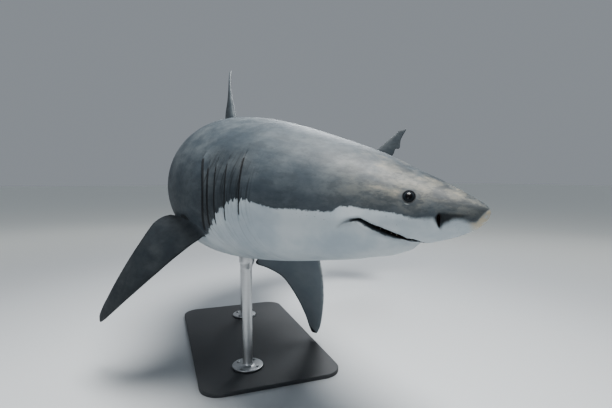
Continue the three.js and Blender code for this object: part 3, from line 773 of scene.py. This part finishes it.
def tooth_row(name, direction, shift, height, width):
    """direction -1 hangs from the upper lip, +1 stands on the lower jaw."""
    at = np.linspace(49, 84, 600)
    lateral = np.maximum(half_width(at, mouth_line(at)) - TOOTH_INSET, 0)
    length = np.concatenate([[0], np.cumsum(np.hypot(np.diff(at), np.diff(lateral)))])
    stations = (np.arange(int(length[-1] / TOOTH_SPACING)) + shift) * TOOTH_SPACING
    lateral = np.interp(stations, length, lateral)
    at, lateral = np.tile(np.interp(stations, length, at), 2), np.concatenate([lateral, -lateral])
    share_open = mouth_open(at) / MOUTH_OPEN
    here = bend(at, lateral, mouth_line(at) - direction * (mouth_open(at) / 2 + TOOTH_ROOT))
    upward = on_spine(UP, at) * direction
    outward = unit(on_spine(LEFT, at) * np.sign(lateral)[:, None] * 0.8 + on_spine(FORWARD, at) * 0.6)
    ways = (here, upward, outward, np.cross(upward, outward))
    here, upward, outward, sideways = (way[:, None, None] for way in ways)
    size = (0.85 + 0.15 * np.cos(2.2 * np.arange(len(at)))) * (0.45 + 0.55 * share_open)
    t = np.linspace(0, 1, 7)[:, None, None]
    angle = 2 * np.pi * np.arange(10)[:, None] / 10
    half = 0.5 * width * (1 - 0.97 * t) ** 0.85
    point = here + size[:, None, None, None] * (
        t * height * upward + half * np.cos(angle) * sideways
        + (2 * TOOTH_THICKNESS * half * np.sin(angle) - TOOTH_CURVE * height * t * t) * outward)
    row = joined([in_scene(closed_mesh(name, tooth)) for tooth in point])
    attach(row, "root")
    print(name, "has", len(point), "teeth")
    return row


upper_teeth = tooth_row("teeth_upper", -1, 0.5, 0.012, 0.013)
lower_teeth = tooth_row("teeth_lower", 1, 1, 0.009, 0.009)

# %% [markdown]
# ## The stand
# A powder-coated steel plate and two brushed rods, each with a flange screwed to the plate and a cup under
# the belly. The plate's edge is rounded by stacking its outline at insets that follow a quarter circle.
# Rods and screws are profiles turned round an axis.

# %% Plate
BASE_LOW, BASE_HIGH = np.array(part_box("stand_base"))
BASE_CORNER, BASE_EDGE, PER_CORNER = 0.12, 0.004, 24
FACE_INSETS = [0.35, 0.02]      # rows that keep the faces of the flat sides well shaped


def plate_grid(low, high):
    """Each row is four quarter circles joined by straight sides. The rows' insets and heights follow a
    small quarter circle at both edges."""
    quarter = np.linspace(0, np.pi / 2, 6)
    rising, falling = BASE_EDGE * (1 - np.cos(quarter)), BASE_EDGE * (1 - np.sin(quarter))
    inset = np.concatenate([FACE_INSETS, falling, rising, FACE_INSETS[::-1]])[:, None, None]
    height = high[2] - low[2]
    z = low[2] + np.concatenate([[0, 0], rising, height - falling, [height, height]])[:, None, None]
    corner = np.maximum(BASE_CORNER, inset + 0.01)
    angle = (np.arange(PER_CORNER) / (PER_CORNER - 1) + np.arange(4)[:, None]).ravel() * np.pi / 2
    quadrant = np.array([[1, 1], [-1, 1], [-1, -1], [1, -1]]).repeat(PER_CORNER, 0)
    ring = (quadrant * ((high - low)[:2] / 2 - corner)
            + (corner - inset) * np.stack([np.cos(angle), np.sin(angle)], 1) + (high + low)[:2] / 2)
    return np.concatenate([ring, z + 0 * ring[..., :1]], -1)


base = in_scene(closed_mesh("stand_plate", plate_grid(BASE_LOW, BASE_HIGH)))
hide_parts("stand_base")
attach(base, "root")
print("plate:", len(base.data.polygons), "faces")

# %% [markdown]
# A rod's cup runs a little way into the skin, so that no gap shows, and the screws sit on the flange in a
# ring.

# %% Rods and screws
ROD_PLACES = {"front": 335, "rear": 560}
ROD_RADIUS, CUP_RADIUS, FLANGE_RADIUS, FLANGE_HEIGHT = 0.03, 0.046, 0.095, 0.014
CUP_OVERLAP, CUP_START, CUP_FLARE, CUP_BAND = 0.012, 0.105, 0.06, 0.02
RIM, ROOT_FILLET, BORE = 0.004, 0.014, 0.004
BOLT_CIRCLE, BOLT_SINK = 0.072, 0.0005


def turned(name, profile, centre, sides):
    """A profile of (radius, height) turned round an upright axis."""
    radius, z = np.array(profile).T[..., None]
    angle = 2 * np.pi * np.arange(sides) / sides
    x, y = centre[0] + radius * np.cos(angle), centre[1] + radius * np.sin(angle)
    return in_scene(closed_mesh(name, np.stack([x, y, z + 0 * angle], -1)))


def arc(centre_radius, centre_z, radius, start, stop, count=6):
    """Points of a circular arc in the profile's plane, angles in degrees."""
    angle = np.radians(np.linspace(start, stop, count))
    return list(zip(centre_radius + radius * np.cos(angle), centre_z + radius * np.sin(angle)))


def rod_profile(foot, top):
    """Flange with a rounded rim, a hollow fillet, the shaft, then the cup that flares to the belly."""
    z = foot + FLANGE_HEIGHT
    flare = [(ROD_RADIUS + (CUP_RADIUS - ROD_RADIUS) * ramp(0, 1, t), top - CUP_START + CUP_FLARE * t)
             for t in np.linspace(0.1, 1, 10)]
    return ([(BORE, foot), (FLANGE_RADIUS, foot)] + arc(FLANGE_RADIUS - RIM, z - RIM, RIM, 0, 90)
            + arc(ROD_RADIUS + ROOT_FILLET, z + ROOT_FILLET, ROOT_FILLET, 270, 180)
            + [(ROD_RADIUS, z + 0.1), (ROD_RADIUS, top - CUP_START)] + flare
            + [(CUP_RADIUS, top - CUP_BAND), (CUP_RADIUS, top), (BORE, top)])


def bolt_profile(seat):
    """A cheese head 17 mm wide and 7 mm high with a round recess."""
    return ([(0.0005, seat), (0.0085, seat)] + arc(0.007, seat + 0.0055, 0.0015, 0, 90, 4)
            + [(0.0045, seat + 0.007), (0.0042, seat + 0.0035), (0.0005, seat + 0.0035)])


bolts, rods = [], []
for word, at in ROD_PLACES.items():
    node = "stand_rod_" + word
    low, high = np.array(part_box(node))
    belly = bend(at, 0, body_values(np.array(at))[3])
    centre = (low[:2] + high[:2]) / 2
    rod = turned("rod_" + word, rod_profile(low[2], belly[2] + CUP_OVERLAP), centre, 96)
    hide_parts(node)
    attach(rod, "root")
    rods.append(rod)
    for angle in np.radians([45, 135, 225, 315]):
        spot = centre + BOLT_CIRCLE * np.array([np.cos(angle), np.sin(angle)])
        bolts.append(turned("stand_screws", bolt_profile(low[2] + FLANGE_HEIGHT - BOLT_SINK), spot, 24))
screws = joined(bolts)
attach(screws, "root")
print("rods:", [rod.name for rod in rods], "screws:", len(bolts))

# %% [markdown]
# ## Writing shader maths as Python
# A material is a graph of nodes. `Value` wraps one output, so that Python's + - * / on it add Math nodes,
# and `Nodes.add` makes any other node from its type, its settings and its inputs.

# %% A small language for materials
class Value:
    """One socket of a node tree."""

    def __init__(self, nodes, socket):
        self.nodes = nodes
        self.socket = socket

    def math(self, operation, *others):
        return self.nodes.add("ShaderNodeMath", {"operation": operation}, [self, *others])

    __add__ = __radd__ = lambda self, other: self.math("ADD", other)
    __mul__ = __rmul__ = lambda self, other: self.math("MULTIPLY", other)
    __sub__ = lambda self, other: self.math("SUBTRACT", other)
    __rsub__ = lambda self, other: self * -1 + other
    __truediv__ = lambda self, other: self.math("DIVIDE", other)
    __abs__ = lambda self: self.math("ABSOLUTE")

    def held(self, low, high):
        """Kept between low and high."""
        return self.math("MINIMUM", high).math("MAXIMUM", low)

    def between(self, low, high):
        """0 at low, 1 at high, smooth between and level outside. low may be larger than high."""
        smoothstep = {"interpolation_type": "SMOOTHSTEP"}
        return self.nodes.add("ShaderNodeMapRange", smoothstep, [self, low, high, 0, 1])


class Nodes:
    """The node tree of one material. Its noise is read at a stored place or the object's coordinates."""

    def __init__(self, material, stored=None):
        material.use_nodes = True
        self.tree = material.node_tree
        self.place = self.attribute(stored, 1) if stored else self.add("ShaderNodeTexCoord", output=3)

    def add(self, kind, settings=None, inputs=(), output=0):
        """settings are set first; inputs are given in order or by name, as numbers, colours or Values."""
        node = self.tree.nodes.new(kind)
        for key, value in (settings or {}).items():
            setattr(node, key, value)
        for key, value in inputs.items() if isinstance(inputs, dict) else enumerate(inputs):
            self.join(node.inputs[key], value)
        return Value(self, node.outputs[output])

    def join(self, socket, value):
        if isinstance(value, Value):
            self.tree.links.new(value.socket, socket)
        else:
            socket.default_value = (*value, 1) if socket.type == "RGBA" else value

    def attribute(self, name, output=2):
        """A number stored on the mesh. Output 2 is the number, 1 the vector."""
        return self.add("ShaderNodeAttribute", {"attribute_name": name}, output=output)

    def noise(self, scale, detail=3, roughness=0.5, stretch=None):
        """Cloudy noise, finer along the axes with a larger stretch."""
        place = self.place
        if stretch:
            place = self.add("ShaderNodeVectorMath", {"operation": "MULTIPLY"}, [place, stretch])
        inputs = {"Vector": place, "Scale": scale, "Detail": detail, "Roughness": roughness}
        return self.add("ShaderNodeTexNoise", inputs=inputs)

    def mix(self, factor, first, second):
        """A colour between first and second."""
        return self.add("ShaderNodeMix", {"data_type": "RGBA"}, {0: factor, 6: first, 7: second}, output=2)

    def layers(self, colour, *layers):
        """Each layer is an amount and a tint, laid over what is there."""
        for amount, tint in layers:
            colour = self.mix(amount, colour, tint)
        return colour

    def bump(self, height, strength, distance):
        inputs = {"Height": height, "Strength": strength, "Distance": distance}
        return self.add("ShaderNodeBump", inputs=inputs)

    def set(self, **sockets):
        for name, value in sockets.items():
            self.join(self.tree.nodes["Principled BSDF"].inputs[name.replace("_", " ")], value)


# %% [markdown]
# ## Skin
# The pattern is read in the straight coordinates stored as `place`, so it follows the animal through its
# bend. The colour line is shaken by noise before it is cut, coarse for its waves and fine for its ragged
# edge, and drawn out into streaks over the gills. The slate is mottled, and browner over the head, partly
# its own tone and partly painted warm sunlight on the head's top. Painted shadow darkens the gill slits,
# the mouth, the nostrils and the eyes' rims; painted shade lies ahead of the nostrils, over the gills and
# round the eyes; painted sunlight warms the snout's tip, and a painted highlight flecks a pectoral fin's
# front edge.

# %% Skin material
SLATE = (0.036, 0.048, 0.06)
SLATE_DARK = (0.02, 0.027, 0.035)
SLATE_LIGHT = (0.078, 0.092, 0.103)
OLIVE = (0.118, 0.114, 0.094)
SAND = (0.2, 0.185, 0.15)
CREAM = (0.44, 0.38, 0.27)
PALE = (0.4, 0.42, 0.41)
WHITE = (0.47, 0.51, 0.53)
WHITE_SHADE = (0.34, 0.39, 0.43)
DUSK = (0.06, 0.078, 0.095)
BLACK = (0.006, 0.007, 0.009)

n = Nodes(skin_finish, "place")
at, height = (n.add("ShaderNodeSeparateXYZ", inputs=[n.place], output=k) / UNIT for k in (0, 2))
marks = ("line", "dark", "pale", "fin", "shade", "mouth", "eye")
line, dark, pale, fin, shade, mouth, eye = map(n.attribute, marks)
on_body = 1 - fin
on_gills = at.between(178, 190) * at.between(262, 248) * height.between(52, 24) * on_body
on_snout = at.between(60, 30) * on_body
on_head = at.between(135, 45) * height.between(-14, 12) * on_body

waves = n.noise(7, 4, 0.6) - 0.5
ragged = n.noise(60, 4, 0.7) - 0.5
streaks = n.noise(1, 3, 0.6, (60, 6, 5)) - 0.5
rough_line = line + (waves * (24 + 16 * on_gills) + ragged * 24) * (1 - on_snout * 0.7)
shaken = rough_line + streaks * (80 * on_gills)
softness = 4 + 8 * on_snout
grey = shaken.between(softness * -1, softness)

mottle = n.noise(9, 6, 0.62, (0.6, 1, 1))
speckle = n.noise(85, 5, 0.7)
smudges = n.noise(17, 5, 0.68, (0.7, 1, 1.6))
lengthwise = n.noise(1, 4, 0.62, (3.5, 14, 26))
scratches = n.noise(1, 3, 0.6, (4, 40, 90)).between(0.58, 0.7) * on_head
# Dark upright streaks over the gills, on slate and white: painted shade in the wrinkles there.
gill_wrinkle_shade = n.noise(1, 3, 0.6, (120, 4, 4)).between(0.5, 0.66) * on_gills
freckles = n.noise(120, 2, 0.5).between(0.68, 0.74) * shaken.between(-70, -8)
slate = n.layers(
    n.mix(mottle.between(0.32, 0.72), SLATE, SLATE_LIGHT),
    # browner over the top of the head: partly the skin's own tone, partly painted warm sunlight
    (on_head * mottle.between(0.35, 0.62) * 0.75, OLIVE),
    (smudges.between(0.47, 0.6) * (0.3 + 0.5 * on_head), SLATE_DARK),
    (smudges.between(0.45, 0.34) * on_head * 0.6, SAND),
    (lengthwise.between(0.5, 0.64) * on_head * 0.55, SLATE_DARK),
    (speckle.between(0.52, 0.72) * 0.3, SLATE), (speckle.between(0.46, 0.28) * 0.25, SLATE_LIGHT),
    (scratches * 0.35, SLATE_LIGHT))
# shade dims the slate: painted shade ahead of the nostrils and over the gills, and the fins' duskiness.
dim_slate = n.add("ShaderNodeVectorMath", {"operation": "SCALE"}, {0: slate, 3: 0.3})
slate = n.layers(slate, (shade, dim_slate), (gill_wrinkle_shade * 0.55, BLACK))
belly = n.layers(n.mix(n.noise(5, 4, 0.55).between(0.35, 0.7), WHITE, WHITE_SHADE),
                 (freckles * 0.5, SLATE_LIGHT), (gill_wrinkle_shade * 0.2, DUSK), (fin * shade, DUSK))

pores = n.add("ShaderNodeTexVoronoi", inputs={"Vector": n.place, "Scale": 190}).between(0.24, 0.12)
# A cream patch with a ragged edge on the white of the snout's tip: painted warm sunlight.
sunlit_tip_noise = n.noise(45, 4, 0.7).between(0.28, 0.52)
sunlit_tip_patch = at.between(14, 6) * on_body * sunlit_tip_noise * shaken.between(8, -4)
edge_noise = n.noise(90, 3, 0.6) - 0.5
# dark: painted shadow along the gill slits, plus the real axil blotch and the fins' dark rims and tips.
slits = (dark + edge_noise * 0.35 * dark.between(0.02, 0.3)).between(0.25, 0.75)
# Pale flecks of painted highlight on the left pectoral's front edge.
worn = pale * n.noise(26, 3, 0.6).between(0.36, 0.5)
crescent = (eye.between(24.5, 27) * eye.between(31, 28.5) * height.between(EYE_UP - 4.8, EYE_UP - 6.4)
            * at.between(49.5, 52))
half_open = (((MOUTH_CORNER - at) / MOUTH_TAPER).held(OPEN_AT_CORNER, 1)
             * ((at - LIP_START) / LIP_TAPER).held(OPEN_AT_LIP, 1) * (MOUTH_OPEN / MM / 2))
lumps = n.noise(75, 2, 0.5) - 0.5
# Painted shadow along the mouth: a black line with lumpy edges at the slit, and a wider band of painted
# shade.
lip_shadow_line = (abs(mouth + 2.5) - half_open + lumps * 14).between(8, 1.5)
lip_shadow_line = lip_shadow_line * at.between(51, 58) * at.between(108, 84)
lip_shade = (abs(mouth + 4) - half_open).between(20, 0) * at.between(48, 60) * at.between(106, 92)
# Painted shadow: black on the skin round each nostril's opening.
nostril_shadow_reach = abs(at - NOSTRIL_AT) * 0.42 + abs(height - NOSTRIL_UP - 2.6) * 0.2 + lumps * 0.9
colour = n.layers(
    n.mix(grey, belly, slate),
    (pores * at.between(34, 12) * on_body * 0.4, BLACK), (sunlit_tip_patch * 0.85, CREAM), (slits * 0.94, BLACK),
    # Painted shade round the eye, and on the next line a black ring of painted shadow round its socket.
    (eye.between(48, 22) * 0.62, SLATE), (crescent * 0.6 + worn * 0.7, PALE),
    (eye.between(25.5, 22) * 0.95, BLACK), (lip_shadow_line * 0.88 * on_body, BLACK),
    (lip_shade * on_body * 0.4, DUSK), (nostril_shadow_reach.between(1.25, 0.55) * on_body * 0.75, BLACK))

wrinkles = n.noise(1, 3, 0.55, (125, 7, 6)) * on_gills
dapple = n.noise(38, 4, 0.6)
grain = n.noise(520, 2, 0.6)
n.set(Base_Color=colour, Roughness=0.46 + dapple * 0.24, Specular_IOR_Level=0.3, Coat_Weight=0.05,
      Coat_Roughness=0.35, Normal=n.bump(wrinkles * 3 + grain * 0.15 + dapple * 0.5, 0.55, 0.0022))
print("skin nodes:", len(n.tree.nodes))

# %% [markdown]
# ## The other finishes
# The walls cut for the mouth, the nostrils and the sockets are near black, painted shadow, and the teeth
# are ivory dulled by painted shade. The eye is near black with a slightly paler rim.
# The plate has the orange peel of powder coat, and the rods fine rings from brushing.

# %% Other materials
def finish(name, *pieces):
    """A new material, put on the pieces. Gives its nodes."""
    material = bpy.data.materials.new(name)
    for piece in pieces:
        piece.data.materials.append(material)
    return Nodes(material)


# Near-black walls of the mouth, nostril and socket cuts: painted shadow.
n = Nodes(cut_wall_shadow_finish)
n.set(Base_Color=n.mix(n.noise(60), (0.008, 0.005, 0.005), (0.024, 0.01, 0.01)), Roughness=0.5)

n = finish("shark_eye", *EYES)
ring = n.attribute("rim") + n.noise(700) * 0.06
colour = n.layers((0.004, 0.004, 0.005), (ring.between(0.3, 0.36), (0.012, 0.016, 0.02)),
                  (ring.between(0.56, 0.64), (0.03, 0.033, 0.036)))
n.set(Base_Color=colour, Roughness=0.24, Specular_IOR_Level=0.16, Coat_Weight=0.05, Coat_Roughness=0.1)

n = finish("tooth_enamel", upper_teeth, lower_teeth)
# Ivory darkened a little: painted shade for teeth that sit in the shade of the lips.
n.set(Base_Color=n.mix(n.noise(180), (0.46, 0.44, 0.36), (0.64, 0.62, 0.54)), Roughness=0.32)

n = finish("powder_coat", base)
wear = n.noise(3, 5, 0.6)
n.set(Base_Color=n.mix(wear.between(0.3, 0.7), (0.045, 0.048, 0.052), (0.062, 0.065, 0.07)),
      Roughness=0.42 + wear * 0.14, Normal=n.bump(n.noise(420, 2), 0.25, 0.0008))

n = finish("brushed_steel", *rods, screws)
rings = n.noise(1, 3, 0.7, (4, 4, 900))
n.set(Base_Color=n.mix(rings, (0.42, 0.43, 0.44), (0.6, 0.61, 0.62)), Metallic=1,
      Roughness=0.26 + rings * 0.1 + n.noise(14) * 0.08, Normal=n.bump(rings, 0.12, 0.0005))
print("materials:", [material.name for material in bpy.data.materials])

# %% [markdown]
# ## Studio
# A wide flat floor that gets paler outwards, a large soft light overhead, a weak one from the front and
# one from behind for the rims. As daylight does, this keeps the back bright and the belly in soft shade.

# %% Floor and lights
FLOOR_HALF = 60
floor_mesh = bpy.data.meshes.new("floor")
corners = [(-1, -1), (1, -1), (1, 1), (-1, 1)]
floor_mesh.from_pydata([(x * FLOOR_HALF, y * FLOOR_HALF, 0) for x, y in corners], [], [(0, 1, 2, 3)])
floor = in_scene(floor_mesh)
n = finish("studio_floor", floor)
distance = n.add("ShaderNodeVectorMath", {"operation": "LENGTH"}, [n.place], output=1)
n.set(Base_Color=n.mix(distance.between(3, 8), (0.44, 0.46, 0.48), (0.96, 0.98, 0.95)), Roughness=0.7,
      Specular_IOR_Level=0.1)

world = bpy.data.worlds.new("studio")
scene.world = world
world.use_nodes = True
backdrop = world.node_tree.nodes["Background"]
backdrop.inputs["Color"].default_value = (0.8, 0.86, 0.93, 1)
backdrop.inputs["Strength"].default_value = 0.3
scene.view_settings.look = "AgX - Medium High Contrast"


def look(direction):
    """Turns an object's -Z towards the direction, with its +Y kept upwards."""
    x, y, z = direction
    return (np.pi / 2 + np.arctan2(z, np.hypot(x, y)), 0, np.arctan2(y, x) - np.pi / 2)


def area_light(name, position, target, size, power, colour):
    """A round soft light that looks at a target, both measured from the shark's middle."""
    data = bpy.data.lights.new(name, "AREA")
    data.shape = "DISK"
    data.size = size
    data.energy = power
    data.color = colour
    lamp = in_scene(data)
    lamp.location = CENTRE[120] + position
    lamp.rotation_euler = look(np.subtract(target, position))


area_light("overhead", (1.1, 0.2, 3.8), (0.3, 0, 0), 2.4, 460, (1, 0.98, 0.94))
area_light("front_fill", (4.5, -3.5, 1.2), (0, 0, 0), 2.5, 50, (0.92, 0.96, 1))
area_light("rim", (-4, 2.5, 3), (0, 0, 0), 2.5, 120, (0.95, 0.98, 1))
print("lights:", [light.name for light in bpy.data.lights])

# %% [markdown]
# ## Camera
# It stands ahead of the snout and to the right of the animal, a hand above it, with a wide lens, so that
# the head looms and the tail shrinks.

# %% Camera
CAMERA_FROM_SNOUT = np.array([1.0514, -1.0311, 0.1086])
CAMERA_HEADING, CAMERA_PITCH = 160, -3.764
SENSOR, LENS = 36, 23.96
camera = in_scene(bpy.data.cameras.new("camera"))
camera.data.sensor_width = SENSOR
camera.data.lens = LENS
camera.location = SNOUT + CAMERA_FROM_SNOUT
camera.rotation_euler = look(aim(CAMERA_HEADING, CAMERA_PITCH))
scene.camera = camera
print("camera at", np.round(camera.location, 3))
